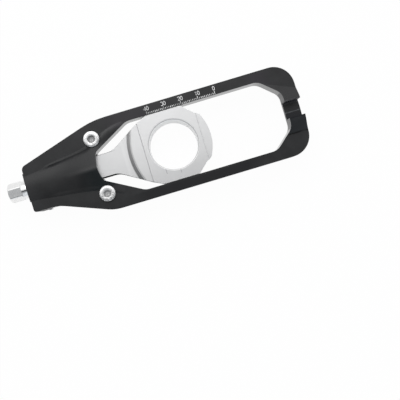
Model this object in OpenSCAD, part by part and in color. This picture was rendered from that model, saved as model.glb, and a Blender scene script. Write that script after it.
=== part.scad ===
// Chain adjuster for the end of a motorcycle swingarm.
// A slotted billet plate guides a slider that carries the wheel's axle.
// A captive screw in the plate's head draws the slider along the window.
// X runs from the screw's head to the far end of the window, Z points out of the front.
// The origin is the axle's centre at the back face, with the slider at its rest place.

/* [Plate] */
// Width across the two bars
plate_w = 52; // [50:0.5:58]
// Thickness of the bars and of the far end
bar_t = 10; // [8:0.5:12]
// Distance from the axle at rest to the far end
far_reach = 74.9; // [72:0.1:84]
// Width of the bar across the far end
far_bar = 8.5; // [7:0.1:11]
// How far the far end bows outward
far_bow = 0.8; // [0.4:0.1:1.5]
// Radius of the two far corners
far_r = 12; // [8:0.5:12.5]
// Length of the head, from the window's near end to its end face
head_len = 41.1; // [39:0.1:45]
// Height of the end face over the screw's line
head_up = 12; // [11:0.1:13.5]
// Depth of the end face under the screw's line
head_down = 14.4; // [13.6:0.1:15.5]
// Length of the straight foot under the head
foot_len = 13.7; // [10:0.1:18]
// Slope of the head's upper edge in degrees
upper_slope = 17; // [16:0.5:20]
// Radius where the head's upper edge bends into the bar
shoulder_r = 50; // [30:5:60]
// Slope of the head's lower edge in degrees
lower_slope = 21; // [20:0.5:26]
// Radius of the two bends in the lower edge
foot_r = 20; // [10:1:25]

/* [Window] */
// Width between the bars
window_w = 40.2; // [39:0.2:42]
// Distance from the axle at rest to the window's near end
window_near = 45; // [44:0.1:48]
// How far the near end bows towards the head
near_bow = 1.9; // [1:0.1:2.4]
// Half width of the near end
near_half = 8.4; // [8:0.1:9]
// Length of each slanted side beside the stem, along X
slant_len = 20.9; // [18:0.1:22]
// Length of each far bevel, along X
bevel_len = 11.1; // [8:0.1:13]
// Half width of the window's far end
far_half = 10.2; // [8:0.1:13]
// Radius at the window's corners
window_r = 8; // [4:0.5:9]

/* [Sculpted front] */
// Height of the hood's crest over the flat front, near the window
crest_h = 2.4; // [2:0.1:4]
// How much lower the crest is at the end face
crest_drop = 1.4; // [0:0.1:1.8]
// How far the crest lies under the screw's line, near the window
crest_shift = 1; // [0:0.1:2]
// Half width of the hood at the end face
hood_half = 8.2; // [7:0.1:9]
// Widening of the hood for each millimetre of length
hood_taper = 0.115; // [0.08:0.005:0.14]
// Extra half width where the hood spreads round the window
hood_flare = 7; // [5:0.5:8]
// Length over which the spread happens
hood_spread = 4; // [3:0.5:6]
// How far the hood stands out of the end face
hood_lip = 0.5; // [0.2:0.1:0.8]
// Length beside the window over which the hood dies out
hood_fade = 29; // [20:1:32]
// Height of the rim along the hood's upper edge
rim_h = 0.5; // [0.1:0.05:0.7]
// Height of the rim along the hood's lower edge
rim_low_h = 0.2; // [0:0.05:0.5]
// Half width of the raised land on the far end
land_half = 13.5; // [10:0.5:16]
// Turn of the land's upper half, in degrees
land_turn = 22; // [0:1:25]
// Height of the land on the far end
land_h = 2.2; // [1:0.1:3]
// Width of the groove across the far end
groove_w = 9.5; // [6:0.5:12]
// Depth of the groove below the flat front
groove_depth = 7; // [3:0.5:7.5]

/* [Slider] */
// Diameter of the axle hole
axle_d = 28; // [24:0.5:28.5]
// Bevel at the mouth of the axle hole
axle_bevel = 0.6; // [0.2:0.1:1]
// Length of the slider's straight guide edges
guide_len = 20.3; // [16:0.1:22]
// How far the guide edges' middle lies behind the axle
guide_shift = 0.55; // [0:0.05:1.5]
// How far the guide flanges reach behind the bars
flange_reach = 2.4; // [1:0.1:3.5]
// How far the slider's face lies below the plate's front
face_drop = 0.3; // [0.1:0.1:1]
// Half length of the raised middle of the face
face_half = 16.85; // [16.2:0.05:17.5]
// Height of the raised middle of the face
face_step = 0.4; // [0.2:0.1:0.8]
// Distance from the axle to the slider's nose
nose_reach = 21.9; // [21:0.1:23]
// How far the nose bows outward
nose_bow = 3.3; // [2:0.1:4]
// Half width of the nose
nose_half = 12.7; // [11:0.1:13]
// Distance from the axle to the round step at the stem
step_reach = 23.6; // [22:0.1:25]
// Radius of the round step
step_r = 37; // [30:0.5:45]
// Width of the sloped wall of the round step
step_run = 2.4; // [1:0.1:3]

/* [Stem] */
// Width of the stem
stem_w = 13; // [12.4:0.2:14]
// Thickness of the stem
stem_t = 12; // [11.6:0.2:13]
// Place of the stem's flare, from the axle
flare_reach = 34.6; // [33:0.1:36]
// Slope of the flare in degrees
flare_slope = 31.3; // [29:0.1:32]
// Wall between the screw's hole and the axle hole
tip_wall = 2.2; // [1.6:0.1:4]

/* [Tension screw] */
// Diameter of the screw's shank
screw_d = 8; // [7:0.1:8.2]
// Size of the hex across its flats
hex_af = 10; // [9:0.5:13]
// Length of the hex
hex_len = 7.7; // [6:0.1:10]
// Diameter of the collar
collar_d = 10.4; // [10:0.1:12.4]
// Length of the collar
collar_len = 4.5; // [3:0.1:6]
// Bevel at the screw's tip and at the hex
screw_bevel = 0.8; // [0.4:0.1:1.2]
// Wall of the bush and of the threaded insert
bush_wall = 1; // [0.7:0.05:1.1]
// Length of the threaded insert
insert_len = 16; // [10:0.5:20]
// Thickness of the head's end wall
end_wall = 8.1; // [7:0.1:9]
// Thickness of the washers and flanges on the screw
washer_t = 1; // [0.8:0.1:1.2]
// Outer radius of the washer inside the head
washer_r = 5.8; // [5.5:0.1:5.9]
// Thickness of the retaining ring
ring_t = 0.8; // [0.6:0.1:1]
// Depth of the retaining ring's groove
ring_groove = 0.3; // [0.2:0.05:0.5]

/* [Cover and its screws] */
// Thickness of the cover behind the head
cover_t = 4; // [3:0.5:5]
// Length of the full-depth foot behind the end face
foot_wall = 5.4; // [4:0.1:7]
// Width of the lip round the block behind the head
block_lip = 2.6; // [2:0.1:3]
// How far the block stops short of the window's near end
block_back = 9.5; // [8:0.5:9.5]
// How far the block and the cover stand back from the window
block_recess = 2.5; // [1:0.1:2.6]
// Width of the locating lug on the cover
lug_w = 1.8; // [1.2:0.1:3]
// How far the lug stands out under the head
lug_out = 0.5; // [0.2:0.1:1]
// Diameter of the two cover screws
cap_screw_d = 5; // [4:0.5:5]
// Head diameter of the cover screws
cap_head_d = 9.2; // [8.5:0.1:9.4]
// Head height of the cover screws
cap_head_h = 2.6; // [2:0.1:3]
// Size of the hexagon socket across its flats
cap_socket_af = 3.4; // [2.5:0.1:4]
// Depth of the hexagon socket
cap_socket_depth = 1.7; // [1:0.1:2]
// Distance of the cover screws from the head's slanted edges
cap_screw_edge = 9.1; // [8.5:0.1:9.5]
// Distance of the cover screws from the window's near end
cap_screw_set = 1.5; // [0:0.1:2]
// Depth of the seats under their heads
cap_seat = 0.6; // [0.3:0.1:1]

/* [Travel and fits] */
// Travel of the slider from rest towards the head
travel_in = 9.5; // [6:0.5:9.5]
// Gap between the slider and each bar
slide_gap = 0.1; // [0.05:0.05:0.3]
// Gap between the stem and the pocket it slides in
pocket_gap = 0.3; // [0.2:0.05:0.5]
// Radial gap of the screw in its bush and insert
run_gap = 0.05; // [0.02:0.01:0.1]
// Radial gap of parts that are pressed or screwed together
seat_gap = 0.02; // [0.01:0.01:0.05]
// Metal left over the pocket under the flat front
pocket_roof = 1.6; // [1.2:0.1:2.5]

/* [Hidden] */

$fn = 96;
arc_step = 7;         // degrees between the points of a round corner
cut = 1;              // how far a cutter runs past what it cuts
free_play = 0.5;      // room left where parts end face to face

// Levels, from the back face up
stem_z0 = cover_t + pocket_gap;
screw_z = stem_z0 + stem_t / 2;
stem_z1 = stem_z0 + stem_t;
roof_z = stem_z1 + pocket_gap;
front_z = roof_z + pocket_roof;
bar_z = front_z - bar_t;
face_z = front_z - face_drop;
top_z = front_z + crest_h + cut;

half_w = plate_w / 2;

// Places along X
window_x0 = -window_near;
window_x1 = far_reach - far_bar;
end_x = window_x0 - head_len;
foot_x = end_x + foot_len;
block_x0 = end_x + foot_wall;
block_x1 = window_x0 + block_back;
wall_x = end_x + end_wall;
stem_x = wall_x + washer_t + ring_t + 3 * free_play + travel_in;
hole_x = -axle_d / 2 - tip_wall;
tip_x = hole_x - travel_in - free_play;
cap_screw_x = window_x0 + cap_screw_set;
cap_screw_y = min(upper_edge(cap_screw_x), lower_edge(cap_screw_x)) - cap_screw_edge;

// The hood spreads round the window and dies out beside it
spread_x = window_x0 + 5;
hood_end_x = window_x0 + hood_fade;
crest_x0 = end_x + 15;
crest_x1 = window_x0 - 5;
crest_x2 = window_x0 - 1;
crest_x3 = window_x0 + 15;
hood_rows = 40;
hood_ridge = 1.15;    // power of the arch near the window, where it is almost a ridge
hood_half_cols = [0, 0.08, 0.18, 0.3, 0.42, 0.54, 0.62, 0.7, 0.78, 0.87, 0.94, 1];
rim_at = 0.87;        // place of the rim's top across the hood's half width
rim_inside = 0.78;    // place where the rim ends inside, in the head
rim_beside = 0.62;    // the same beside the window
rim_x0 = end_x + 9;
rim_x1 = window_x0 + 14;
rim_rise = 10;        // length over which the rim rises
rim_fall = 15;        // length over which it dies out
hood_root = 1.5;      // how deep the hood is rooted in the plate
hood_sink = 0.1;      // how far its edge lies under the flat front, for a clean crease
hood_dip = 0.4;       // how far its crest dips under the flat front where it dies out

// Radii along the screw's line
screw_r = screw_d / 2;
bush_r = screw_r + run_gap + bush_wall;
flange_r = collar_d / 2 + 1;

// Outlines are lists of [x, y, corner radius], listed anticlockwise
plate_path = concat(
    [[far_reach, half_w, far_r],
     [end_x + (half_w - head_up) / tan(upper_slope), half_w, shoulder_r],
     [end_x, head_up, 3],
     [end_x, -head_down, 1.5],
     [foot_x, -head_down, foot_r],
     [foot_x + (half_w - head_down) / tan(lower_slope), -half_w, foot_r],
     [far_reach, -half_w, far_r]],
    bowed([far_reach, -half_w + far_r + 1], [far_reach, half_w - far_r - 1], far_bow));

window_half = [
    [window_x1, far_half, 7],
    [window_x1 - bevel_len, window_w / 2, window_r],
    [window_x0 + near_bow + slant_len, window_w / 2, window_r],
    [window_x0 + near_bow, near_half, 0]];
window_path = concat(
    window_half,
    bowed([window_x0 + near_bow, near_half], [window_x0 + near_bow, -near_half], near_bow),
    mirrored(window_half));

// The slider's outline: nose, guide edges, slanted sides, flare and stem
guide_half = window_w / 2 - slide_gap;
guide_x0 = -guide_len / 2 - guide_shift;
guide_x1 = guide_len / 2 - guide_shift;
flare_run = 16.6;     // distance along X from the flare's start to the slanted side
slider_half = [
    [nose_reach - nose_bow, nose_half, 0.8],
    [face_half - 0.5, nose_half + 1.1, 0],
    [guide_x1, guide_half, 1.5],
    [guide_x0, guide_half, 2],
    [-flare_reach + flare_run, stem_w / 2 + flare_run * tan(flare_slope), 4],
    [-flare_reach, stem_w / 2, 10],
    [stem_x, stem_w / 2, 1]];
slider_path = concat(
    slider_half,
    mirrored(slider_half),
    bowed([nose_reach - nose_bow, -nose_half], [nose_reach - nose_bow, nose_half], nose_bow));

// Half width of the plate above and below the screw's line, at a place along X in the head
function upper_edge(x) = min(half_w, head_up + (x - end_x) * tan(upper_slope));
function lower_edge(x) = min(half_w, head_down + (x - foot_x) * tan(lower_slope));

function unit(v) = v / norm(v);
function cross2(a, b) = a.x * b.y - a.y * b.x;
function flat(p) = [p.x, p.y];

// The other half of a path that is symmetric about the X axis
function mirrored(half) = [for (i = [len(half) - 1:-1:0]) [half[i].x, -half[i].y, half[i][2]]];

// Points of a shallow arc from p to q that bulges to the right of that line, without its ends
function bowed(p, q, rise, n = 12) =
    let (chord = norm(q - p),
         r = (chord * chord / 4 + rise * rise) / (2 * rise),
         side = [(q - p).y, -(q - p).x] / chord,
         centre = (p + q) / 2 + side * (rise - r),
         half = asin(chord / 2 / r))
    [for (i = [1:n - 1])
        let (a = -half + 2 * half * i / n,
             at = centre + r * (side * cos(a) + (q - p) / chord * sin(a)))
        [at.x, at.y, 0]];

// The arc that rounds corner b between its neighbours a and c
function corner_arc(a, b, c, r) =
    let (u = unit(a - b),
         w = unit(c - b),
         half = acos(u * w) / 2,
         centre = b + unit(u + w) * r / sin(half),
         start = b + u * r / tan(half) - centre,
         stop = b + w * r / tan(half) - centre,
         a0 = atan2(start.y, start.x),
         turn = (atan2(stop.y, stop.x) - a0 + 540) % 360 - 180,
         n = max(1, ceil(abs(turn) / arc_step)))
    [for (i = [0:n]) centre + r * [cos(a0 + turn * i / n), sin(a0 + turn * i / n)]];

// A path's points, with its corners rounded
function rounded(path) =
    let (n = len(path))
    [for (i = [0:n - 1])
        let (a = flat(path[(i + n - 1) % n]), b = flat(path[i]), c = flat(path[(i + 1) % n]))
        each (path[i][2] > 0 ? corner_arc(a, b, c, path[i][2]) : [b])];

// A path moved outward by d all round, or inward where d is negative
function grown(path, d) =
    let (n = len(path))
    [for (i = [0:n - 1])
        let (a = flat(path[(i + n - 1) % n]), b = flat(path[i]), c = flat(path[(i + 1) % n]),
             u = unit(b - a), w = unit(c - b),
             n0 = [u.y, -u.x], n1 = [w.y, -w.x],
             at = b + d * (n0 + n1) / (1 + n0 * n1),
             r = path[i][2],
             turn = cross2(u, w) > 0 ? d : -d)
        [at.x, at.y, r > 0 ? max(0.1, r + turn) : 0]];

// Half width of the hood's crease and height of its crest at a place along X
function hood_w(x) =
    hood_half + hood_taper * (x - end_x) + hood_flare / (1 + exp((spread_x - x) / hood_spread));
function eased(t) =
    let (u = min(1, max(0, t)))
    u * u * (3 - 2 * u);
function nearness(x) = eased((x - crest_x0) / (crest_x1 - crest_x0));
function hood_h(x) =
    (crest_h + hood_dip) * (1 - eased((x - crest_x2) / (crest_x3 - crest_x2)))
    - hood_dip - crest_drop * (1 - nearness(x));

// Height of a rim at a place along X and across the half width, 0 at the crest and 1 at the edge
function rim(x, t, h) =
    let (inside = rim_inside + (rim_beside - rim_inside) * eased((x - window_x0) / 10))
    h * eased((x - rim_x0) / rim_rise) * (1 - eased((x - rim_x1) / rim_fall))
    * max(0, min((1 - t) / (1 - rim_at), (t - inside) / (rim_at - inside)));

// One row of the hood: an arch that turns into a ridge towards the window, inside its rim.
// At the end face its upper side runs out softly and its lower side meets the front at a crease.
function hood_row(x) =
    let (w = hood_w(x),
         h = hood_h(x),
         near = nearness(x),
         n = len(hood_half_cols) - 1)
    [for (j = [-n:n])
        let (t = hood_half_cols[abs(j)],
             arch = j > 0 ? pow(1 - t * t, 2) : 1 - t * t,
             form = (1 - near) * arch + near * (1 - pow(t, hood_ridge)))
        [x,
         sign(j) * t * w - crest_shift * near * (1 - t),
         front_z - hood_sink + h * form + rim(x, t, j > 0 ? rim_h : rim_low_h)]];

// A plate of the given outline between two levels
module slab(path, z0, z1) {
    translate([0, 0, z0])
        linear_extrude(z1 - z0)
            polygon(rounded(path));
}

// A cylinder along X between two places
module rod(x0, x1, r, z = screw_z) {
    translate([x0, 0, z])
        rotate([0, 90, 0])
            cylinder(h = x1 - x0, r = r);
}

module box(x0, x1, y0, y1, z0, z1) {
    translate([x0, y0, z0])
        cube([x1 - x0, y1 - y0, z1 - z0]);
}

// A hexagonal bar along Z
module hexagon(af, h) {
    cylinder(h = h, r = af / sqrt(3), $fn = 6);
}

// The raised hood, rooted in the plate
module hood() {
    x0 = end_x - hood_lip;
    ring = 2 * len(hood_half_cols) + 1;
    points = [
        for (i = [0:hood_rows])
            let (x = x0 + (hood_end_x - x0) * i / hood_rows,
                 w = hood_w(x))
            each concat(
                hood_row(x),
                [[x, w, front_z - hood_root], [x, -w, front_z - hood_root]])];
    faces = concat(
        [[for (j = [ring - 1:-1:0]) j]],
        [for (i = [0:hood_rows - 1]) for (j = [0:ring - 1])
            let (k = (j + 1) % ring)
            [i * ring + j, i * ring + k, (i + 1) * ring + k, (i + 1) * ring + j]],
        [[for (j = [0:ring - 1]) hood_rows * ring + j]]);
    polyhedron(points = points, faces = faces, convexity = 4);
}

// One side of the land on the far end, a shallow barrel turned about the window's end
module land_side(y0, y1, turn) {
    barrel_r = (land_half * land_half + land_h * land_h) / (2 * land_h);
    intersection() {
        box(window_x1 - bevel_len, far_reach + far_bow + cut, y0, y1, front_z - hood_root, top_z);
        translate([window_x1, 0, 0])
            rotate([0, 0, turn])
                rod(-plate_w, plate_w, barrel_r, front_z + land_h - barrel_r);
    }
}

// The raised land, whose upper half slants
module far_land() {
    intersection() {
        slab(plate_path, front_z - hood_root, top_z);
        union() {
            land_side(-half_w, 0, 0);
            land_side(0, half_w, -land_turn);
        }
    }
}

// The block behind the head that carries the pocket, set back from the window
module head_block(z0, z1) {
    difference() {
        intersection() {
            slab(grown(plate_path, -block_lip), z0, z1);
            box(block_x0, block_x1, -half_w, half_w, z0, z1);
        }
        slab(grown(window_path, block_recess), z0 - cut, min(z1 + cut, bar_z));
    }
}

// The pocket is the slider's own outline at its innermost place, with a gap all round
module stem_pocket() {
    intersection() {
        translate([-travel_in, 0, 0])
            slab(grown(slider_path, pocket_gap), -cut, roof_z);
        box(wall_x, block_x1 + cut, -half_w, half_w, -cut, roof_z);
    }
    box(wall_x, stem_x, -stem_w / 2 - pocket_gap, stem_w / 2 + pocket_gap, -cut, roof_z);
}

module at_cap_screws() {
    for (side = [-1, 1])
        translate([cap_screw_x, side * cap_screw_y, 0])
            children();
}

module outer_plate() {
    color("#2b2b2e")
    difference() {
        union() {
            slab(plate_path, bar_z, front_z);
            hood();
            far_land();
            head_block(cover_t, bar_z + cut);
            intersection() {
                slab(plate_path, 0, bar_z + cut);
                box(end_x - cut, block_x0, -half_w, half_w, 0, bar_z + cut);
            }
        }
        slab(window_path, -cut, top_z);
        stem_pocket();
        rod(end_x - hood_lip - cut, wall_x + cut, bush_r + seat_gap);
        rod(end_x - hood_lip - cut, end_x + washer_t, flange_r + seat_gap);
        at_cap_screws() {
            translate([0, 0, -cut])
                cylinder(h = top_z, r = cap_screw_d / 2 + 0.25);
            translate([0, 0, front_z - cap_seat])
                cylinder(h = top_z, r = cap_head_d / 2 + 0.3);
        }
        box(window_x1 - cut, far_reach + far_bow + cut,
            -groove_w / 2, groove_w / 2, front_z - groove_depth, top_z);
    }
}

// The cover closes the pocket from behind and holds the screws' threads
module head_cover() {
    color("#c9cbce")
    difference() {
        union() {
            head_block(0, cover_t);
            box(block_x0, block_x0 + lug_w, -head_down - lug_out, -head_down / 2, 0, cover_t);
        }
        at_cap_screws()
            translate([0, 0, -cut])
                cylinder(h = cover_t + 2 * cut, r = cap_screw_d / 2 + seat_gap);
    }
}

// A button-head screw with a hexagon socket
module cover_screw(side) {
    seat_z = front_z - cap_seat;
    dome_r = (pow(cap_head_d / 2, 2) + pow(cap_head_h, 2)) / (2 * cap_head_h);
    color("#d8dadc")
    translate([cap_screw_x, side * cap_screw_y, 0])
        difference() {
            union() {
                translate([0, 0, free_play])
                    cylinder(h = seat_z - free_play + 0.1, r = cap_screw_d / 2);
                intersection() {
                    translate([0, 0, seat_z])
                        cylinder(h = cap_head_h, r = cap_head_d / 2);
                    translate([0, 0, seat_z + cap_head_h + 0.4 - dome_r])
                        sphere(r = dome_r);
                }
            }
            translate([0, 0, seat_z + cap_head_h - cap_socket_depth])
                hexagon(cap_socket_af, cap_socket_depth + cut);
        }
}

// The flanged bush that lines the end wall
module screw_bush() {
    color("#b08d57")
    difference() {
        union() {
            rod(end_x, wall_x, bush_r);
            rod(end_x, end_x + washer_t, flange_r);
        }
        rod(end_x - cut, wall_x + cut, screw_r + run_gap);
    }
}

// The screw: hex, round collar, shank with a groove for the ring, bevelled tip
module tension_screw() {
    hex_x = end_x - collar_len - hex_len;
    ring_x = wall_x + washer_t;
    cone_h = hex_af;
    color("#d2d4d6")
    difference() {
        union() {
            intersection() {
                translate([hex_x, 0, screw_z])
                    rotate([0, 90, 0])
                        hexagon(hex_af, hex_len);
                translate([hex_x, 0, screw_z])
                    rotate([0, 90, 0])
                        cylinder(h = cone_h, r1 = hex_af / 2, r2 = hex_af / 2 + cone_h);
            }
            rod(end_x - collar_len, end_x, collar_d / 2);
            rod(end_x - 0.1, tip_x - screw_bevel, screw_r);
            translate([tip_x - screw_bevel, 0, screw_z])
                rotate([0, 90, 0])
                    cylinder(h = screw_bevel, r1 = screw_r, r2 = screw_r - screw_bevel);
        }
        difference() {
            rod(ring_x, ring_x + ring_t, screw_r + cut);
            rod(ring_x - cut, ring_x + ring_t + cut, screw_r - ring_groove);
        }
    }
}

module thrust_washer() {
    color("#c2c4c8")
    difference() {
        rod(wall_x, wall_x + washer_t, washer_r);
        rod(wall_x - cut, wall_x + washer_t + cut, screw_r + run_gap);
    }
}

// A snap ring with its gap towards the back
module retaining_ring() {
    ring_x = wall_x + washer_t;
    color("#6d7076")
    difference() {
        rod(ring_x, ring_x + ring_t, washer_r - 0.4);
        rod(ring_x - cut, ring_x + ring_t + cut, screw_r - ring_groove + seat_gap);
        box(ring_x - cut, ring_x + ring_t + cut, -1.5, 1.5, screw_z - washer_r, screw_z);
    }
}

module axle_slider() {
    color("#d9dadc")
    difference() {
        union() {
            slab(slider_path, 0, face_z);
            box(guide_x0 + 1, guide_x1 - 1, -guide_half - flange_reach, guide_half + flange_reach,
                0, bar_z - pocket_gap);
        }
        // The stem stands over the cover and below the head's roof
        box(stem_x - cut, block_x1 + travel_in + free_play, -half_w, half_w, -cut, stem_z0);
        difference() {
            box(stem_x - cut, guide_x0, -half_w, half_w, stem_z1, face_z + cut);
            translate([step_r - step_reach, 0, stem_z1])
                cylinder(h = face_z - stem_z1, r1 = step_r + step_run, r2 = step_r);
        }
        // Both ends of the face lie a little below its middle
        box(face_half, nose_reach + cut, -half_w, half_w, face_z - face_step, face_z + cut);
        box(-step_reach - cut, -face_half, -half_w, half_w, face_z - face_step, face_z + cut);
        translate([0, 0, -cut])
            cylinder(h = face_z + 2 * cut, d = axle_d);
        translate([0, 0, face_z - axle_bevel])
            cylinder(h = axle_bevel + 0.1, r1 = axle_d / 2, r2 = axle_d / 2 + axle_bevel + 0.1);
        rod(stem_x - cut, hole_x, screw_r + 0.3);
        rod(stem_x - cut, stem_x + insert_len, bush_r + seat_gap);
    }
}

// The threaded insert at the stem's end
module stem_insert() {
    color("#9a9ca0")
    difference() {
        rod(stem_x, stem_x + insert_len, bush_r);
        rod(stem_x - cut, stem_x + insert_len + cut, screw_r + run_gap);
    }
}

outer_plate();
head_cover();
cover_screw(1);  // cover_screw_upper
cover_screw(-1);  // cover_screw_lower
screw_bush();
tension_screw();
thrust_washer();
retaining_ring();
axle_slider();
stem_insert();
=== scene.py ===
# A chain adjuster for a motorcycle's swingarm: finishes, edges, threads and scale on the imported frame.
import math
import bmesh
import bpy
import numpy as np
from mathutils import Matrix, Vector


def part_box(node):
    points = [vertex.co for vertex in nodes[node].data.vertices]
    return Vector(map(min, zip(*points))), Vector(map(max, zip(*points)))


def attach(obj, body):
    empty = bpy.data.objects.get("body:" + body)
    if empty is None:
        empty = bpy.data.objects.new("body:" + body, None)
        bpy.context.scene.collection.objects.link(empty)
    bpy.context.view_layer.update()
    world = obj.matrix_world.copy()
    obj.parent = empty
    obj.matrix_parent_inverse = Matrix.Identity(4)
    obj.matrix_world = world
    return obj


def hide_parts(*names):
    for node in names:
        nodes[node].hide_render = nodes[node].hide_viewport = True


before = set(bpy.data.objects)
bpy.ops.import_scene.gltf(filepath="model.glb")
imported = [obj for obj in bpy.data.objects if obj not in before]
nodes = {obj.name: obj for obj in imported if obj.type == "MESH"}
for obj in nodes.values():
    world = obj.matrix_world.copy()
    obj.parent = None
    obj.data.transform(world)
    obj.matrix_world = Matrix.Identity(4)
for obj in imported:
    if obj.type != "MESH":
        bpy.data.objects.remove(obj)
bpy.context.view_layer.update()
mm = 0.001

# Places that several pieces share, in millimetres, read from the frame
screwLow, screwHigh = [np.array(corner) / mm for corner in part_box("tension_screw")]
bushLow, bushHigh = [np.array(corner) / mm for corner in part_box("screw_bush")]
ringLow, ringHigh = [np.array(corner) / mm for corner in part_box("retaining_ring")]
capLow, capHigh = [np.array(corner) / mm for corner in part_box("cover_screw_upper")]
capCentre = (capLow + capHigh) / 2
capHead = 2.6  # height of a cover screw's head, as in the part
capSeat = 0.6  # depth of its seat in the plate's front, as in the part
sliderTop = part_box("axle_slider")[1][2] / mm
endX = bushLow[0]
screwZ = (bushLow[2] + bushHigh[2]) / 2
frontZ = capHigh[2] - (capHead - capSeat)
print("frame loaded:", len(nodes), "nodes")


def grey(level, blue=0.0):
    return (level, level, level * (1.0 + blue), 1.0)


class Wire:
    # An output socket that can be added, multiplied and so on: each operation adds a Math node
    def __init__(self, tree, socket):
        self.tree = tree
        self.socket = socket

    def out(self, name):
        return Wire(self.tree, self.socket.node.outputs[name])

    def math(self, operation, first, second):
        return self.tree.math(operation, first, second)

    def __add__(self, other):
        return self.math("ADD", self, other)

    def __radd__(self, other):
        return self.math("ADD", other, self)

    def __sub__(self, other):
        return self.math("SUBTRACT", self, other)

    def __rsub__(self, other):
        return self.math("SUBTRACT", other, self)

    def __mul__(self, other):
        return self.math("MULTIPLY", self, other)

    def __rmul__(self, other):
        return self.math("MULTIPLY", other, self)

    def __abs__(self):
        return self.math("ABSOLUTE", self, 0.0)

    def __lt__(self, other):
        return self.math("LESS_THAN", self, other)

    def __gt__(self, other):
        return self.math("GREATER_THAN", self, other)

    def root(self):
        return self.math("SQRT", self, 0.0)


class NodeTree:
    # Builds the nodes of a material or of the world
    lineCore = 0.3  # share of a line's half width that has its full strength

    def __init__(self, owner):
        owner.use_nodes = True
        self.owner = owner
        self.nodes = owner.node_tree.nodes
        self.links = owner.node_tree.links
        self.nodes.clear()

    def add(self, kind, settings=None, sockets=None):
        # Any node by its type: its settings first, then the values or links of its sockets
        node = self.nodes.new(kind)
        for key, value in (settings or {}).items():
            setattr(node, key, value)
        for key, value in (sockets or {}).items():
            if isinstance(value, Wire):
                self.links.new(value.socket, node.inputs[key])
            else:
                node.inputs[key].default_value = value
        return Wire(self, node.outputs[0]) if node.outputs else None

    def math(self, operation, first, second):
        return self.add("ShaderNodeMath", {"operation": operation}, {0: first, 1: second})

    def place(self):
        return self.add("ShaderNodeTexCoord").out("Object")

    def axes(self, where):
        parts = self.add("ShaderNodeSeparateXYZ", None, {0: where})
        return [parts.out(axis) for axis in "XYZ"]

    def noise(self, where, scale, detail=2.0, roughness=0.5):
        sockets = {"Vector": where, "Scale": scale, "Detail": detail, "Roughness": roughness}
        return self.add("ShaderNodeTexNoise", None, sockets)

    def patches(self, where, scale, detail, roughness, step):
        # Soft patches of noise: step holds the noise's two levels and the values below and above them
        return self.ramp(self.noise(where, scale, detail, roughness), *step)

    def spread(self, share, low, high):
        # A share from 0 to 1 brought to the range from low to high
        return share * (high - low) + low

    def ramp(self, value, low, high, first, last):
        # first below low and last above high, with a soft step between them
        return self.add("ShaderNodeMapRange", {"interpolation_type": "SMOOTHSTEP"}, {
            "Value": value, "From Min": low, "From Max": high, "To Min": first, "To Max": last})

    def slope(self, value, span, first, last):
        # The same soft step over a span in millimetres
        return self.ramp(value, span[0] * mm, span[1] * mm, first, last)

    def between(self, value, span):
        # 1 where value is inside a span in millimetres, with hard edges
        return (value > span[0] * mm) * (value < span[1] * mm)

    def within(self, value, span, soft):
        # 1 where value is inside a span in millimetres, with edges of width 2 soft
        low, high = span
        rise = self.slope(value, (low - soft, low + soft), 0.0, 1.0)
        return rise * self.slope(value, (high - soft, high + soft), 1.0, 0.0)

    def line(self, value, place, half):
        # 1 where value is at place, down to 0 where it is half away from there
        return self.slope(abs(value - place * mm), (self.lineCore * half, half), 1.0, 0.0)

    def colours(self, mix, first, second):
        # The node's inputs 6 and 7 and its output 2 are those for colours
        return self.add("ShaderNodeMix", {"data_type": "RGBA"}, {0: mix, 6: first, 7: second}).out(2)

    def bump(self, height, distance, strength):
        # A height of 1 stands distance high, in millimetres
        sockets = {"Height": height, "Distance": distance * mm, "Strength": strength}
        return self.add("ShaderNodeBump", None, sockets)

    def surface(self, sockets):
        return self.add("ShaderNodeBsdfPrincipled", None, sockets)

    def soiled(self, mix, clean):
        # Painted shade: the clean surface under dull black where mix is 1
        dull = self.surface({
            "Base Color": paintedShadeLook["tone"], "Roughness": paintedShadeLook["roughness"],
            "Specular IOR Level": paintedShadeLook["specular"]})
        return self.add("ShaderNodeMixShader", None, {0: mix, 1: clean, 2: dull})

    def closed(self, surface):
        self.add("ShaderNodeOutputMaterial", None, {"Surface": surface})
        return self.owner


def newTree(name):
    return NodeTree(bpy.data.materials.new(name))


# Materials. Lengths are in millimetres, and a patch is its noise's scale, detail and roughness, then the
# noise's two levels and the values below and above them

# Dull black that paints shade over a surface
paintedShadeLook = {
    "tone": grey(0.004),
    "roughness": 0.9,
    "specular": 0.1,
}

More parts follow.
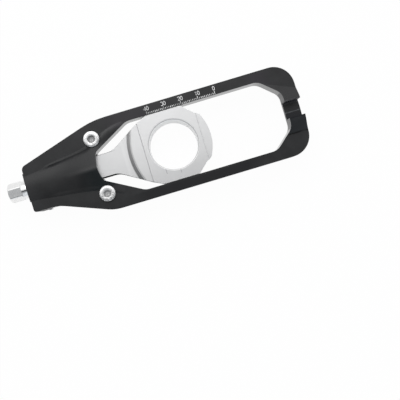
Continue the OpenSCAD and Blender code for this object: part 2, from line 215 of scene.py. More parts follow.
blackLook = {
    "base": (0.0050, 0.0054, 0.0062, 1.0),
    "worn": (0.0134, 0.0138, 0.0150, 1.0),
    "cloud": (60.0, 4.0, 0.6, (0.3, 0.7, 0.0, 1.0)),
    "roughness": (0.29, 0.38),
    "specular": 0.36,
    "grain": (5200.0, 3.0, 0.6),
    "grainHeight": 0.004,
    "grainStrength": 0.55,
    "headRough": ((-60.0, -47.0), (0.0, 6.0), 0.12),  # span along X, span along Y, how much rougher
    "ridgeRough": ((-64.0, -44.0), 6.0, (1.0, 14.0), 1.5, 0.13),  # the same, each span with its soft edge
    "wallX": (-45.5, 65.5),
    "wallY": 20.3,
    "wallDrop": 0.3,  # how far under the front the walls' finish starts
    "wallTone": grey(0.04),
    "wallRoughness": 0.04,
    "wallSmooth": 0.85,  # share of the grain that milling took off the walls
    "farX": 63.5,
    "shadeLines": ((-13.6, 0.55, 0.75), (5.0, 0.5, 0.6)),  # place, half width, strength
    "highlightLine": (-0.85, 0.4),
    "highlightTone": (0.10, 0.105, 0.115, 1.0),
    "uneven": (900.0, 2.0, 0.5, (0.35, 0.6, 0.35, 1.0)),
    "toneEdge": 0.6,
    "shadeAndLightPatches": (  # span along X and its soft edge, span along Y, colour, strength
        # painted shade: the lower bar darker and bluish
        ((-28.0, 42.0), 8.0, (-30.0, -20.9), (0.0006, 0.0010, 0.0022, 1.0), 1.0),
        # painted shade: the head's lower flank darker and bluish
        ((-52.0, -30.0), 6.0, (-12.5, 0.0), (0.0022, 0.0048, 0.0060, 1.0), 1.0),
        # painted shade: the groove's lower floor near black
        ((63.0, 80.0), 1.0, (-5.2, -1.4), (0.0000, 0.0010, 0.0040, 1.0), 1.0),
        # painted light: the land below the groove lighter
        ((63.0, 80.0), 1.0, (-13.0, -5.4), (0.032, 0.036, 0.041, 1.0), 0.3),
        # painted light: the groove's upper wall lighter
        ((63.0, 80.0), 1.0, (4.0, 5.2), (0.10, 0.10, 0.11, 1.0), 0.7),
        # painted light: two lighter, purplish patches on the upper side
        ((-32.0, -10.0), 6.0, (18.0, 30.0), (0.016, 0.012, 0.018, 1.0), 0.5),
        ((50.0, 60.0), 6.0, (14.0, 25.0), (0.017, 0.012, 0.020, 1.0), 0.5)),
}


def anodisedBlack():
    # Fine blasted grain under a dark dye that varies a little, with painted shade and painted light in a few
    # places: the lower bar, the head's lower flank and the groove's lower floor darker, and the land below
    # the groove, the groove's upper wall and two patches on the upper side lighter. The head is rougher below
    # its crest and on the ridge. The window's walls are milled smooth: |y| < wallY and x inside wallX, below
    # the front. Across the far end, painted shade darkens two lines along X, and a fine painted highlight
    # runs along the groove's floor
    look = blackLook
    tree = newTree("black_anodised_satin")
    where = tree.place()
    x, y, z = tree.axes(where)
    cloud = tree.patches(where, *look["cloud"])
    colour = tree.colours(cloud, look["base"], look["worn"])
    for spanX, softX, spanY, tone, strength in look["shadeAndLightPatches"]:
        inside = tree.within(x, spanX, softX) * tree.within(y, spanY, look["toneEdge"]) * strength
        colour = tree.colours(inside, colour, tone)
    wall = tree.between(x, look["wallX"]) * (abs(y) < look["wallY"] * mm)
    wall = wall * (z < (frontZ - look["wallDrop"]) * mm)
    colour = tree.colours(wall, colour, look["wallTone"])

    far = x > look["farX"] * mm
    uneven = tree.patches(where, *look["uneven"])
    # Painted shade: two dark lines along X across the far end, laid on as dull black
    dark = 0.0
    for place, half, strength in look["shadeLines"]:
        dark = tree.line(y, place, half) * strength + dark
    # Painted highlight: a fine light line along the groove's floor
    light = tree.line(y, *look["highlightLine"]) * far * (z < frontZ * mm)
    colour = tree.colours(light * uneven, colour, look["highlightTone"])

    rough = tree.spread(cloud, *look["roughness"])
    spanX, spanY, extra = look["headRough"]
    rough = rough + tree.slope(x, spanX, extra, 0.0) * tree.slope(y, spanY, 1.0, 0.0)
    spanX, softX, spanY, softY, extra = look["ridgeRough"]
    rough = rough + tree.within(x, spanX, softX) * tree.within(y, spanY, softY) * extra
    rough = rough + wall * (look["wallRoughness"] - rough)
    grain = tree.noise(where, *look["grain"]) * (1.0 - wall * look["wallSmooth"])
    metal = tree.surface({
        "Base Color": colour, "Roughness": rough, "Specular IOR Level": look["specular"],
        "Normal": tree.bump(grain, look["grainHeight"], look["grainStrength"])})
    return tree.closed(tree.soiled(dark * far * uneven, metal))


silverLook = {
    "base": grey(0.66, 0.004),
    "dull": grey(0.58, 0.004),
    "cloud": (70.0, 4.0, 0.6),
    "metallic": 0.85,
    "roughness": (0.36, 0.46),
    "grain": (4200.0, 3.0, 0.6),
    "grainHeight": 0.004,
    "grainStrength": 0.6,
}


def silverBase(tree, where):
    # Blasted and clear anodised: soft clouds and fine grain
    look = silverLook
    cloud = tree.noise(where, *look["cloud"])
    grain = tree.noise(where, *look["grain"])
    return cloud, grain, tree.colours(cloud, look["base"], look["dull"])


def silverMetal(tree, cloud, colour, metallic, height):
    look = silverLook
    return tree.surface({
        "Base Color": colour, "Metallic": metallic, "Roughness": tree.spread(cloud, *look["roughness"]),
        "Normal": tree.bump(height, look["grainHeight"], look["grainStrength"])})


def plainSilver():
    tree = newTree("silver_anodised_satin")
    cloud, grain, colour = silverBase(tree, tree.place())
    return tree.closed(silverMetal(tree, cloud, colour, silverLook["metallic"], grain))


sliderLook = {
    "shadeY": (-17.0, -4.0),
    "shade": 0.09,
    "stemDrop": 1.6,  # from the face's top down to the stem's
    "faceDepth": 0.5,  # what is higher than this under the face's top is the face
    "stemDepth": 0.15,  # what is higher than this under the stem's top is the stem's top or the face
    "stemX": -15.0,  # the stem and the round step lie on its left
    "topMargin": 0.02,
    "noseX": 16.85,
    "noseDrop": 0.41,  # how much lower the face is beyond noseX
    "holeWall": 14.8,
    "wall": grey(0.97),
    "wallMetallic": 0.0,
    "stemShadeTone": grey(0.012),
    "stemFade": (-30.5, -27.5),
    "stemEdge": (0.4, 0.04),  # depths under the stem's top between which its edge lies
    "upperEdge": 0.4,
    "stemRimShade": (6.45, 0.3, 0.6),  # a dark line along X: place, half width, strength
    "rimFade": (-38.0, -31.0),
    "stemHighlight": (-28.2, 1.3, 0.12),  # a light one along Y
    "bright": grey(0.86),
    "mouthRadius": 14.3,
    "mouthWidth": (0.2, 0.45),
    "mouthRise": 0.9,  # it starts this high over the stem's top
    "mouth": 0.42,
    "edgeDark": grey(0.10, 0.02),
    "speckle": (1500.0, 2.0, 0.5, (0.42, 0.58, 0.0, 1.0)),
    "creases": ((-17.1, 0.22), (16.7, 0.9)),  # place, strength
    "creaseHalf": 0.22,
    "creaseShade": grey(0.42, 0.02),
    "lines": ((-8.2, -15.0, -12.2), (-0.1, -16.6, -14.2)),  # place and both ends along Y
    "lineHalf": 0.2,
    "lineStrength": 0.8,
    "lineDepth": 6.0,
    "lineDark": grey(0.36, 0.02),
    "stepCentre": 13.4,
    "stepEdges": ((37.15, 0.34, 0.34), (39.3, 0.50, 0.42)),  # radius, half width, strength
    "stepShade": 0.22,
    "stepWiden": ((-14.0, 4.0), 1.9, 1.0),
    "stepDark": grey(0.012, 0.1),
}


def indexLines(tree, x, y):
    # 1 on the two lines cut into the face: |x - place| < half, between their ends
    lines = 0.0
    for place, low, high in sliderLook["lines"]:
        onLine = abs(x - place * mm) < sliderLook["lineHalf"] * mm
        lines = onLine * tree.between(y, (low, high)) + lines
    return lines


def stepDirt(tree, x, y):
    # Painted shade in the round step, by the distance r = sqrt((x - centre)^2 + y^2) from the step's centre:
    # a light shade between its two edges, and a darker line at each, wider towards negative y
    look = sliderLook
    out = x - look["stepCentre"] * mm
    radius = (out * out + y * y).root()
    widen = tree.slope(y, *look["stepWiden"])
    shadeLevel = tree.between(radius, [edge[0] for edge in look["stepEdges"]]) * look["stepShade"]
    for place, half, strength in look["stepEdges"]:
        away = abs(radius - place * mm)
        edge = tree.ramp(away, tree.lineCore * half * mm, widen * (half * mm), strength, 0.0)
        shadeLevel = tree.math("MAXIMUM", shadeLevel, edge)
    return shadeLevel


def markedSilver():
    # The slider's finish: painted shade towards negative y, side walls painted a brighter matt white as
    # painted light, the stem's sides painted black as painted shade, with a dark painted edge and rim line, a
    # painted highlight across the stem's top, a painted shade line at the hole's mouth, where r = sqrt(x^2 +
    # y^2), speckled painted shade along the creases at both ends of the face, index lines, and painted shade
    # in the round step
    look = sliderLook
    tree = newTree("silver_anodised_marked")
    where = tree.place()
    x, y, z = tree.axes(where)
    cloud, grain, colour = silverBase(tree, where)
    # Painted shade: the face darker towards negative y
    colour = tree.colours(tree.slope(y, look["shadeY"], look["shade"], 0.0), colour, look["edgeDark"])
    stemTop = sliderTop - look["stemDrop"]
    onFace = z > (sliderTop - look["faceDepth"]) * mm
    onTop = z > (stemTop - look["stemDepth"]) * mm
    leftOfFace = x < look["stemX"] * mm
    hole = (x * x + y * y).root()

    # Side walls, painted a brighter matt white as painted light, and the stem's sides, painted black as
    # painted shade
    faceLevel = (sliderTop - look["topMargin"]) * mm - (x > look["noseX"] * mm) * (look["noseDrop"] * mm)
    atFace = tree.math("MAXIMUM", hole < look["holeWall"] * mm, x > look["stemX"] * mm)
    edgeLow, edgeHigh = [stemTop - depth for depth in look["stemEdge"]]
    onWall = tree.math("MAXIMUM", z < edgeLow * mm, atFace * (z < faceLevel))
    # Painted light: the side walls a brighter, matt white
    colour = tree.colours(onWall, colour, look["wall"])
    metallic = onWall * (look["wallMetallic"] - silverLook["metallic"]) + silverLook["metallic"]
    onStem = tree.slope(x, look["stemFade"], 1.0, 0.0)
    # Painted shade: the stem's sides black
    colour = tree.colours(onWall * onStem, colour, look["stemShadeTone"])
    # Painted shade on the stem's broken top edge: full on its black part, weaker along its upper side
    edge = tree.between(z, (edgeLow, edgeHigh)) * leftOfFace
    edge = edge * tree.math("MAXIMUM", onStem, (y > 0.0) * look["upperEdge"])
    colour = tree.colours(edge, colour, look["edgeDark"])

    # Painted shade and highlights on the stem's top and on the face, and the index lines
    # Painted shade: a dark line along the stem's upper rim
    place, half, strength = look["stemRimShade"]
    rim = tree.line(y, place, half) * tree.slope(x, look["rimFade"], 1.0, 0.0) * onTop * strength
    colour = tree.colours(rim, colour, look["stemShadeTone"])
    # Painted highlight: a light band across the stem's top
    place, half, strength = look["stemHighlight"]
    colour = tree.colours(tree.line(x, place, half) * onTop * strength, colour, look["bright"])
    # Painted shade: a dark line round the hole's mouth, above the stem's top
    mouth = tree.slope(abs(hole - look["mouthRadius"] * mm), look["mouthWidth"], 1.0, 0.0)
    mouth = mouth * (z > (stemTop + look["mouthRise"]) * mm) * look["mouth"]
    colour = tree.colours(mouth, colour, look["edgeDark"])
    # Painted shade: speckled dark lines along the face's two steps
    crease = 0.0
    for place, strength in look["creases"]:
        crease = tree.line(x, place, look["creaseHalf"]) * strength + crease
    crease = crease * tree.patches(where, *look["speckle"]) * onFace
    colour = tree.colours(crease, colour, look["creaseShade"])
    lines = indexLines(tree, x, y) * onFace
    colour = tree.colours(lines * look["lineStrength"], colour, look["lineDark"])
    # Painted shade in the round step
    colour = tree.colours(stepDirt(tree, x, y) * onTop * leftOfFace, colour, look["stepDark"])
    metal = silverMetal(tree, cloud, colour, metallic, grain - lines * look["lineDepth"])
    # Painted shade: dull black over the stem's sides
    return tree.closed(tree.soiled(onWall * onStem, metal))


metalLook = {
    "blotch": (3.0, 0.6, (0.35, 0.68, 0.0, 1.0)),
    "wave": {"wave_type": "BANDS", "bands_direction": "X"},
    "waveDistortion": 0.4,
    "waveDetail": 1.0,
    "blotchHeight": 0.4,
    "bumpHeight": 0.006,
    "bumpStrength": 0.5,
}

# The clean and the dull tone, the roughness of both, and the scales of the blotches and of the tool rings
metals = {
    "bright_zinc": {
        "base": grey(0.93), "dull": grey(0.26), "roughness": (0.28, 0.42), "scale": 1700.0, "rings": 0.0},
    "turned_steel": {
        "base": grey(0.87), "dull": grey(0.80), "roughness": (0.18, 0.30), "scale": 420.0, "rings": 900.0},
    "blackened_spring": {
        "base": grey(0.10), "dull": grey(0.06), "roughness": (0.28, 0.42), "scale": 500.0, "rings": 0.0},
    "bearing_bronze": {
        "base": (0.62, 0.43, 0.22, 1.0), "dull": (0.46, 0.30, 0.15, 1.0), "roughness": (0.25, 0.4),
        "scale": 480.0, "rings": 700.0},
}

capLightLook = {
    "dark": grey(0.24),
    "litY": (0.5, 2.5),
    "lit": 0.75,
    "rim": (3.6, 4.1),
    "rimLevel": ((-3.0, 3.0), 0.30, 1.0),
    "mottleY": (-4.0, 1.0),
    "mottle": 0.9,
    "dish": (2.05, 2.45),
    "dishDark": 0.85,
    "dishDull": 0.9,
    "core": (0.75, 1.25),
    "coreLight": 0.4,
    "lowerLight": 0.25,  # the lower screw's socket is this much lighter
}

# A painted dark reflection along the top of the collar
collarStreakLook = {
    "place": -0.8,
    "half": 0.36,
    "spanX": (-90.3, -86.0),
    "dark": grey(0.02),
}


def capTones(tree, where, blotch, colour):
    # Painted light and shade on the cover screws, by the radius r = sqrt((x - x0)^2 + (|y| - y0)^2) from
    # their axes: a painted highlight on the rim, painted shade in the dish with a lighter core, painted light
    # on the upper side, and mottled painted shade below
    look = capLightLook
    bright = metals["bright_zinc"]["base"]
    x, y = tree.axes(where)[:2]
    acrossX = x - capCentre[0] * mm
    acrossY = abs(y) - capCentre[1] * mm
    upward = acrossY * tree.math("SIGN", y, 0.0)
    radius = (acrossX * acrossX + acrossY * acrossY).root()
    dish = tree.slope(radius, look["dish"], 1.0, 0.0)
    core = tree.slope(radius, look["core"], 1.0, 0.0)
    colour = tree.colours(tree.slope(upward, look["litY"], 0.0, look["lit"]), colour, bright)
    rim = tree.slope(radius, look["rim"], 0.0, 1.0) * tree.slope(upward, *look["rimLevel"])
    colour = tree.colours(rim, colour, bright)
    mottled = blotch * tree.slope(upward, look["mottleY"], look["mottle"], 0.0)
    colour = tree.colours(mottled, colour, look["dark"])
    depth = (look["dishDark"] - core * look["coreLight"]) * (1.0 - (y < 0.0) * look["lowerLight"])
    colour = tree.colours(dish * depth, colour, look["dark"])
    # The rim's painted highlight and the dish's painted shade are matt
    return colour, 1.0 - tree.math("MAXIMUM", dish * look["dishDull"], rim)


def seamTone(tree, where, colour):
    # Painted reflection: one dark line along X on the top of the collar
    look = collarStreakLook
    x, y, z = tree.axes(where)
    streak = tree.line(y, look["place"], look["half"]) * tree.between(x, look["spanX"]) * (z > screwZ * mm)
    return tree.colours(streak, colour, look["dark"])


def turnedMetal(kind):
    # Bare metal with blotches where it was handled, and faint tool rings along X on what was turned
    look = metals[kind]
    tree = newTree(kind)
    where = tree.place()
    blotch = tree.patches(where, look["scale"], *metalLook["blotch"])
    colour = tree.colours(blotch, look["base"], look["dull"])
    height = blotch
    metallic = 1.0
    if look["rings"]:
        rings = tree.add("ShaderNodeTexWave", metalLook["wave"], {
            "Vector": where, "Scale": look["rings"],
            "Distortion": metalLook["waveDistortion"], "Detail": metalLook["waveDetail"]})
        height = rings + blotch * metalLook["blotchHeight"]
    # Painted light and shade on the cover screws
    if kind == "bright_zinc":
        colour, metallic = capTones(tree, where, blotch, colour)
    # Painted reflection on the collar
    if kind == "turned_steel":
        colour = seamTone(tree, where, colour)
    return tree.closed(tree.surface({
        "Base Color": colour, "Metallic": metallic,
        "Roughness": tree.spread(blotch, *look["roughness"]),
        "Normal": tree.bump(height, metalLook["bumpHeight"], metalLook["bumpStrength"])}))


paintLook = {
    "base": grey(0.82),
    "dull": grey(0.70),
    "worn": grey(0.10),
    "patch": (900.0, 0.0, 0.5, (0.42, 0.55, 0.7, 0.0)),
    "wornY": 22.2,
    "roughness": 0.55,
    "grain": 3000.0,
    "grainHeight": 0.004,
    "grainStrength": 0.5,
}


def markingPaint():
    # The scale's white filling, worn where the ticks meet the window's edge
    look = paintLook
    tree = newTree("scale_white")
    where = tree.place()
    grain = tree.noise(where, look["grain"])
    worn = tree.patches(where, *look["patch"]) * (tree.axes(where)[1] < look["wornY"] * mm)
    colour = tree.colours(grain, look["base"], look["dull"])
    return tree.closed(tree.surface({
        "Base Color": tree.colours(worn, colour, look["worn"]), "Roughness": look["roughness"],
        "Normal": tree.bump(grain, look["grainHeight"], look["grainStrength"])}))


blackFinish = anodisedBlack()
silverFinish = plainSilver()
sliderFinish = markedSilver()
zincFinish = turnedMetal("bright_zinc")
steelFinish = turnedMetal("turned_steel")
springFinish = turnedMetal("blackened_spring")
bronzeFinish = turnedMetal("bearing_bronze")
paintFinish = markingPaint()
print("materials made")


# Mesh helpers

def coated(mesh, finish):
    mesh.materials.clear()
    mesh.materials.append(finish)


def finished(mesh, name, finish, body):
    piece = bpy.data.objects.new(name, mesh)
    bpy.context.scene.collection.objects.link(piece)
    coated(mesh, finish)
    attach(piece, body)
    return piece


class Skin:
    # Collects grids of points, in millimetres, and makes one mesh of them
    mergeGap = 0.0005
    thinGap = 0.00025  # shorter edges are dissolved

    def __init__(self):
        self.points = []
        self.faces = []
        self.count = 0

    def grid(self, points, wrapCols=False):
        rows, cols = points.shape[:2]
        row = np.arange(rows - 1)[:, None]
        col = np.arange(cols if wrapCols else cols - 1)[None, :]
        nextCol = (col + 1) % cols
        corners = [row * cols + col, (row + 1) * cols + col, (row + 1) * cols + nextCol, row * cols + nextCol]
        self.points.append(points.reshape(-1, 3))
        self.faces.append(np.stack(corners, axis=-1).reshape(-1, 4) + self.count)
        self.count += rows * cols
        return self

    def mesh(self, name, smooth=True):
        made = bpy.data.meshes.new(name)
        points = np.concatenate(self.points) * mm
        made.from_pydata(points.tolist(), [], np.concatenate(self.faces).tolist())
        work = bmesh.new()
        work.from_mesh(made)
        bmesh.ops.remove_doubles(work, verts=work.verts, dist=self.mergeGap * mm)
        bmesh.ops.dissolve_degenerate(work, dist=self.thinGap * mm, edges=work.edges)
        bmesh.ops.recalc_face_normals(work, faces=work.faces)
        work.to_mesh(made)
        work.free()
        made.polygons.foreach_set("use_smooth", np.full(len(made.polygons), smooth))
        return made


def around(columns):
    # Even angles once round
    return np.arange(columns) * 2 * math.pi / columns


def hexRadius(angle, flats):
    # Distance from the centre to a hexagon's side at an angle, with a side's middle at angle 0
    folded = (angle + math.pi / 6) % (math.pi / 3) - math.pi / 6
    return flats / 2 / np.cos(folded)


def rounds(low, high, fillet, count=4):
    # Places and insets of a quarter circle of radius fillet at both ends of a span
    turn = np.linspace(0, math.pi / 2, count)
    inset = fillet * (1 - np.sin(turn))
    run = fillet * (1 - np.cos(turn))
    return np.concatenate([low + run, (high - run)[::-1]]), np.concatenate([inset, inset[::-1]])


def threadCut(along, angle, hand, make):
    # A thread's depth: depth * (1 - |2 frac(along / pitch + hand * t / 2 pi) - 1|)
    wave = (along[:, None] / make["pitch"] + hand * angle[None, :] / (2 * math.pi)) % 1
    return make["threadDepth"] * (1 - np.abs(2 * wave - 1))


# The plate, the cover and the slider keep their solids' form, with broken edges

edgeMake = {
    "plate": 0.18,
    "cover": 0.3,
    "slider": 0.25,
    "segments": 2,
    "angle": 32.0,  # edges that turn by more degrees are broken
    "flatAngle": 0.1,  # triangles that turn by fewer degrees are joined
    "mergeGap": 0.002,
}


def eased(piece, width):
    # Breaks the sharp edges and keeps the flat faces flat
    bevel = piece.modifiers.new("edge_break", "BEVEL")
    bevel.width = width * mm
    bevel.segments = edgeMake["segments"]
    bevel.limit_method = "ANGLE"
    bevel.angle_limit = math.radians(edgeMake["angle"])
    bevel.use_clamp_overlap = True
    weigh = piece.modifiers.new("even_shading", "WEIGHTED_NORMAL")
    weigh.keep_sharp = True


def edgedNode(node, name, finish, body, width):
    # A merged copy of a node with its edges broken
    work = bmesh.new()
    work.from_mesh(nodes[node].data)
    bmesh.ops.remove_doubles(work, verts=work.verts, dist=edgeMake["mergeGap"] * mm)
    bmesh.ops.dissolve_limit(
        work, angle_limit=math.radians(edgeMake["flatAngle"]), verts=work.verts, edges=work.edges,
        use_dissolve_boundaries=False)
    mesh = bpy.data.meshes.new(name)
    work.to_mesh(mesh)
    work.free()
    mesh.polygons.foreach_set("use_smooth", np.full(len(mesh.polygons), True))
    if "custom_normal" in mesh.attributes:
        mesh.attributes.remove(mesh.attributes["custom_normal"])
    piece = finished(mesh, name, finish, body)
    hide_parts(node)
    eased(piece, width)


edgedNode("outer_plate", "plate_edged", blackFinish, "plate", edgeMake["plate"])
edgedNode("head_cover", "cover_edged", silverFinish, "plate", edgeMake["cover"])
edgedNode("axle_slider", "slider_edged", sliderFinish, "slider", edgeMake["slider"])
print("plate, cover and slider edged")


# The pieces inside keep their solids and get a finish

innerFinishes = {
    "screw_bush": bronzeFinish,
    "thrust_washer": steelFinish,
    "retaining_ring": springFinish,
    "stem_insert": steelFinish,
}
for node, finish in innerFinishes.items():
    coated(nodes[node].data, finish)
print("bush, washer, ring and insert coated")


# The tension screw

screwMake = {
    "columns": 96,
    "hexFlats": 9.8,
    "hexTurn": 6.0,  # degrees
    "hexLength": 7.7,
    "hexDish": ((0.0, 1.4), (0.25, 1.3), (0.02, 1.0)),  # depth and inset of the rows of its hollow end
    "hexBevel": 0.7,  # length of the cone that cuts its corners
    "hexBevelInset": 0.35,
    "hexBevelPast": 0.4,  # how far the cone runs past the corners
    "hexBevelRows": 6,
    "hexFoot": ((0.3, 0.0), (0.04, 0.0), (0.0, 0.04)),  # distance from the collar and inset
    "collarRadius": 5.2,
    "collarFillet": 0.2,
    "collarFace": 0.3,  # how far inside its radius the collar's face starts
    "shank": 4.0,
    "ringGroove": 0.3,
    "neck": 1.5,  # plain length between the ring and the thread
    "pitch": 1.25,
    "threadDepth": 0.62,
    "threadTop": 0.06,
    "rowsPerPitch": 12,
    "tipCone": 0.9,
}


def tensionScrew():
    # Rows of radii along the screw, point = (x, -r sin t, screwZ + r cos t): bevelled hexagon, collar with
    # round edges, plain neck, ring groove, a thread cut off at its crest, and a cone at the tip
    make = screwMake
    angle = around(make["columns"])
    even = np.ones(make["columns"])
    hexX = screwLow[0]
    hexEnd = hexX + make["hexLength"]
    half = make["hexFlats"] / 2
    flats = hexRadius(angle - math.radians(make["hexTurn"]), make["hexFlats"])
    rows = [(hexX, 0 * even)]
    rows += [(hexX + depth, (half - inset) * even) for depth, inset in make["hexDish"]]
    reach = make["hexFlats"] / math.sqrt(3) + make["hexBevelPast"] - half
    for step in np.linspace(0, 1, make["hexBevelRows"]):
        cone = half - make["hexBevelInset"] + reach * step
        rows.append((hexX + make["hexBevel"] * step, np.minimum(flats, cone)))
    rows += [(hexEnd - back, flats - inset) for back, inset in make["hexFoot"]]
    rows.append((hexEnd, (make["collarRadius"] - make["collarFace"]) * even))
    for x, inset in zip(*rounds(hexEnd, endX, make["collarFillet"])):
        rows.append((x, (make["collarRadius"] - inset) * even))

    shank = make["shank"]
    groove = shank - make["ringGroove"]
    threadStart = ringHigh[0] + make["neck"]
    for x, radius in (
            (endX, shank), (ringLow[0], shank), (ringLow[0], groove),
            (ringHigh[0], groove), (ringHigh[0], shank), (threadStart, shank)):
        rows.append((x, radius * even))
    threadX = np.arange(threadStart, screwHigh[0], make["pitch"] / make["rowsPerPitch"])
    fadeIn = np.clip((threadX - threadX[0]) / make["pitch"], 0, 1)[:, None]
    cut = fadeIn * np.maximum(threadCut(threadX, angle, -1, make) - make["threadTop"], 0)
    cone = shank - np.clip(threadX - screwHigh[0] + make["tipCone"], 0, None)[:, None]
    rows += list(zip(threadX, np.minimum(shank - cut, cone)))
    rows += [(screwHigh[0], (shank - make["tipCone"]) * even), (screwHigh[0], 0 * even)]

    radii = np.array([row[1] for row in rows])
    x = np.broadcast_to(np.array([row[0] for row in rows])[:, None], radii.shape)
    points = np.stack([x, -radii * np.sin(angle), screwZ + radii * np.cos(angle)], axis=-1)
    return Skin().grid(points, wrapCols=True).mesh("tension_screw_turned")


screw = finished(tensionScrew(), "tension_screw_turned", steelFinish, "screw")
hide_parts("tension_screw")
print("tension screw turned")


# The two cover screws

capMake = {
    "turns": {"cover_screw_upper": 0.35, "cover_screw_lower": 0.9},  # how each socket is turned, in radians
    "columns": 72,
    "radius": 4.52,
    "rise": 2.35,
    "rim": 1.45,  # height of the head's straight rim
    "flat": 3.55,  # radius of the head's flat top
    "domeRows": 8,
    "domeStart": 0.1,  # where its rows start, as a share of a quarter turn
    "footBevel": 0.12,
    "socketFlats": 3.6,
    "socketDepth": 1.75,
    "socketCone": 0.3,  # depth of the cone in the socket's floor
    "socketConeShare": 0.8,
    "socketBevel": 0.35,  # depth of the bevel at the socket's mouth
    "socketMouth": ((0.12, 0.06), (0.3, 0.0)),  # how far outside the corners, how deep
    "shank": 2.5,
    "threadLength": 6.0,
    "pitch": 0.8,
    "threadDepth": 0.4,
    "rowsPerPitch": 8,
    "tip": 0.4,
    "tipInset": 0.5,
}


def capScrew(name, turn):
    # Rings of (radius, height) round the screw's own axis. The socket's rings are hexagons, and the dome is
    # (flat + (radius - flat) sin t, top - (rise - rim) (1 - cos t))
    make = capMake
    angle = around(make["columns"])
    even = np.ones(make["columns"])
    low, high = [np.array(corner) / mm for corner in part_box(name)]
    centre = (low + high) / 2
    seatZ = high[2] - capHead
    topZ = seatZ + make["rise"]
    floorZ = topZ - make["socketDepth"]
    socket = hexRadius(angle, make["socketFlats"])
    mouth = make["socketFlats"] / math.sqrt(3)
    rings = [(0 * even, floorZ - make["socketCone"]), (socket * make["socketConeShare"], floorZ)]
    rings += [(socket, floorZ), (socket, topZ - make["socketBevel"])]
    rings += [((mouth + out) * even, topZ - depth) for out, depth in make["socketMouth"]]
    rings.append((make["flat"] * even, topZ))
    for bend in np.linspace(make["domeStart"], 1, make["domeRows"]) * math.pi / 2:
        radius = make["flat"] + (make["radius"] - make["flat"]) * math.sin(bend)
        rings.append((radius * even, topZ - (make["rise"] - make["rim"]) * (1 - math.cos(bend))))
    rings.append((make["radius"] * even, seatZ + make["footBevel"]))
    rings.append(((make["radius"] - make["footBevel"]) * even, seatZ))

    threadStart = low[2] + make["threadLength"]
    rings += [(make["shank"] * even, seatZ), (make["shank"] * even, threadStart)]
    threadZ = np.arange(threadStart, low[2] + make["tip"], -make["pitch"] / make["rowsPerPitch"])
    fadeIn = np.clip(threadStart - threadZ, 0, 1)[:, None]
    rings += list(zip(make["shank"] - threadCut(threadZ, angle, 1, make) * fadeIn, threadZ))
    rings += [((make["shank"] - make["tipInset"]) * even, low[2]), (0 * even, low[2])]

    radii = np.array([ring[0] for ring in rings])
    x = centre[0] + radii * np.cos(angle + turn)
    y = centre[1] + radii * np.sin(angle + turn)
    z = np.broadcast_to(np.array([ring[1] for ring in rings])[:, None], radii.shape)
    mesh = Skin().grid(np.stack([x, y, z], axis=-1), wrapCols=True).mesh(name + "_turned")
    piece = finished(mesh, name + "_turned", zincFinish, "plate")
    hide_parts(name)


for name, turn in capMake["turns"].items():
    capScrew(name, turn)
print("cover screws turned")


# The scale on the upper bar

scaleMake = {
    "zeroX": 30.5,
    "count": 40,
    "numberEvery": 10,
    "innerY": 20.4,
    "shortTick": 1.0,
    "longTick": 1.75,
    "tickWidth": 0.36,
    "digitHeight": 2.3,
    "digitWidth": 0.56,  # as a share of the height
    "digitMiddle": 23.75,
    "digitGap": 0.25,
    "pairShift": 0.35,
    "stroke": 0.3,
    "thickness": 0.03,
    "mitredBelow": 6,  # strokes of fewer points have sharp corners
}


def arc(centre, radius, start, stop, count=14, squash=1.0):
    # Points of an ellipse's arc: centre + radius (cos a, squash sin a)
    turn = np.radians(np.linspace(start, stop, count))
    return np.stack([centre[0] + radius * np.cos(turn), centre[1] + radius * squash * np.sin(turn)], axis=-1)


# Each figure's strokes in a box digitWidth wide and 1 high
figures = {
    "0": [arc((0.28, 0.5), 0.25, 90, 449, 28, 1.9)],
    "1": [np.array([[0.12, 0.78], [0.32, 0.97], [0.32, 0.03]])],
    "2": [np.concatenate([arc((0.28, 0.71), 0.25, 165, -35), np.array([[0.04, 0.04], [0.55, 0.04]])])],
    "3": [np.concatenate([arc((0.27, 0.73), 0.23, 150, -80), arc((0.27, 0.28), 0.26, 80, -150)])],
    "4": [np.array([[0.42, 0.03], [0.42, 0.97], [0.02, 0.3], [0.58, 0.3]])],
}


def ribbon(skin, path, width):
    # A flat strip with a rectangular section carried along the path, closed at both ends: its sides are
    # path +- n width / 2, with n across the path's direction
    make = scaleMake
    if len(path) < make["mitredBelow"]:
        ahead = np.diff(path, axis=0)
        ahead /= np.linalg.norm(ahead, axis=1)[:, None]
        step = np.concatenate([ahead[:1], ahead[1:] + ahead[:-1], ahead[-1:]])
    else:
        step = np.gradient(path, axis=0)
    step /= np.linalg.norm(step, axis=1)[:, None]
    side = np.stack([-step[:, 1], step[:, 0]], axis=-1) * width / 2
    top = frontZ + make["thickness"] / 2
    low = top - make["thickness"]
    section = np.stack([
        np.column_stack([path + way * side, np.full(len(path), level)])
        for way, level in ((1, top), (1, low), (-1, low), (-1, top))], axis=1)
    first = np.broadcast_to(section[:1].mean(axis=1, keepdims=True), section[:1].shape)
    last = np.broadcast_to(section[-1:].mean(axis=1, keepdims=True), section[-1:].shape)
    skin.grid(np.concatenate([first, section, last]), wrapCols=True)


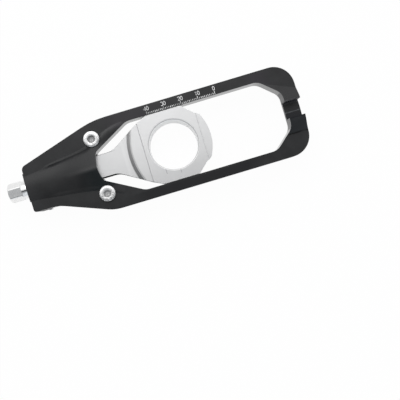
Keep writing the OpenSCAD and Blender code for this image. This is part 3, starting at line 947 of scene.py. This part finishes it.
def travelScale():
    # One ribbon for each tick, and one for each stroke of the numbers, centred over their ticks
    make = scaleMake
    skin = Skin()
    height = make["digitHeight"]
    advance = make["digitWidth"] * height + make["digitGap"]
    numbered = range(0, make["count"] + 1, make["numberEvery"])
    for mark in range(make["count"] + 1):
        x = make["zeroX"] - mark
        length = make["longTick"] if mark in numbered else make["shortTick"]
        path = np.array([[x, make["innerY"]], [x, make["innerY"] + length]])
        ribbon(skin, path, make["tickWidth"])
    for mark in numbered:
        text = str(mark)
        width = len(text) * advance - make["digitGap"]
        left = make["zeroX"] - mark - width / 2 + make["pairShift"] * (len(text) - 1)
        for figure in text:
            for stroke in figures[figure]:
                corner = np.array([left, make["digitMiddle"] - height / 2])
                ribbon(skin, corner + stroke * height, make["stroke"])
            left += advance
    return skin.mesh("travel_scale", smooth=False)


finished(travelScale(), "travel_scale", paintFinish, "plate")
print("scale laid on the bar")


# Floor, light and camera

studio = {  # lengths in metres
    "floorSize": 12.0,
    "floorDrop": 0.0002,
    "floorTone": grey(0.86),
    "floorGlow": 0.97,
    "white": grey(1.0),
    "skyRise": (-0.31, 0.38, 0.24, 1.38),
    "skyFall": (0.70, 0.97, 1.0, 0.6),
    "skyNear": (-0.68, -0.42, 0.65, 0.0),
    "skyShade": (-0.93, -0.55, 0.3, 1.0),
    "skyTint": (-0.3, 0.1, 0.0, 1.0),
    "skyBlue": (0.93, 0.965, 1.0, 1.0),
    "boxPower": 0.9,
    "boxSize": 0.34,
    "boxPlace": (-0.03, 0.34, 0.52),
}


def seenDirectly(tree):
    # 1 for a ray that shows the background itself: to the camera, in a reflection or through glass
    path = tree.add("ShaderNodeLightPath")
    seen = path.out("Is Camera Ray") + path.out("Is Glossy Ray")
    through = path.out("Is Transmission Ray")
    return tree.add("ShaderNodeMath", {"operation": "ADD", "use_clamp": True}, {0: seen, 1: through})


def floorFinish():
    tree = newTree("studio_floor")
    plain = tree.add("ShaderNodeBsdfDiffuse", None, {"Color": studio["floorTone"]})
    white = tree.add("ShaderNodeEmission", None, {"Color": studio["white"], "Strength": 1.0})
    glow = seenDirectly(tree) * studio["floorGlow"]
    return tree.closed(tree.add("ShaderNodeMixShader", None, {0: glow, 1: plain, 2: white}))


def studioFloor():
    half = studio["floorSize"] / 2
    mesh = bpy.data.meshes.new("floor")
    corners = [(-half, -half, 0), (half, -half, 0), (half, half, 0), (-half, half, 0)]
    mesh.from_pydata(corners, [], [(0, 1, 2, 3)])
    mesh.materials.append(floorFinish())
    floor = bpy.data.objects.new("floor", mesh)
    bpy.context.scene.collection.objects.link(floor)
    floor.location.z = -studio["floorDrop"]


def studioSky():
    # Strength = (rise(y) fall(y) + near(y)) shade(x): a dark band on the near side, with a faint blue tint,
    # grows to a bright band behind the part. Both horizons are calmer, and it is darker low down beyond the
    # screw's head
    world = bpy.data.worlds.new("studio_sky")
    bpy.context.scene.world = world
    tree = NodeTree(world)
    across, away = tree.axes(tree.add("ShaderNodeTexCoord").out("Generated"))[:2]
    level = tree.ramp(away, *studio["skyRise"]) * tree.ramp(away, *studio["skyFall"])
    level = (level + tree.ramp(away, *studio["skyNear"])) * tree.ramp(across, *studio["skyShade"])
    tint = tree.colours(tree.ramp(away, *studio["skyTint"]), studio["skyBlue"], studio["white"])
    soft = tree.add("ShaderNodeBackground", None, {"Color": tint, "Strength": level})
    white = tree.add("ShaderNodeBackground", None, {"Color": studio["white"], "Strength": 1.0})
    seen = tree.add("ShaderNodeLightPath").out("Is Camera Ray")
    mixed = tree.add("ShaderNodeMixShader", None, {0: seen, 1: soft, 2: white})
    tree.add("ShaderNodeOutputWorld", None, {"Surface": mixed})


def softBox():
    lamp = bpy.data.lights.new("soft_box", "AREA")
    lamp.energy = studio["boxPower"]
    lamp.size = studio["boxSize"]
    box = bpy.data.objects.new("soft_box", lamp)
    bpy.context.scene.collection.objects.link(box)
    box.location = studio["boxPlace"]
    aim = -box.location
    box.rotation_euler = aim.to_track_quat("-Z", "Y").to_euler()


view = {
    "place": (-3.0, -30.0, 368.2),  # in millimetres
    "turn": -16.67,
    "lens": 55.94,
    "sensor": 36.0,
    "shift": (0.0406, -0.0080),
    "clip": (0.01, 50.0),
}


def mainCamera():
    # Straight down onto the front, turned so that the long axis rises to the right
    lens = bpy.data.cameras.new("main_camera")
    lens.lens = view["lens"]
    lens.sensor_width = view["sensor"]
    lens.shift_x, lens.shift_y = view["shift"]
    lens.clip_start, lens.clip_end = view["clip"]
    camera = bpy.data.objects.new("main_camera", lens)
    bpy.context.scene.collection.objects.link(camera)
    camera.location = [value * mm for value in view["place"]]
    camera.rotation_euler = (0.0, 0.0, math.radians(view["turn"]))
    bpy.context.scene.camera = camera


studioFloor()
studioSky()
softBox()
mainCamera()
bpy.context.scene.view_settings.view_transform = "Standard"
print("floor, light and camera set")
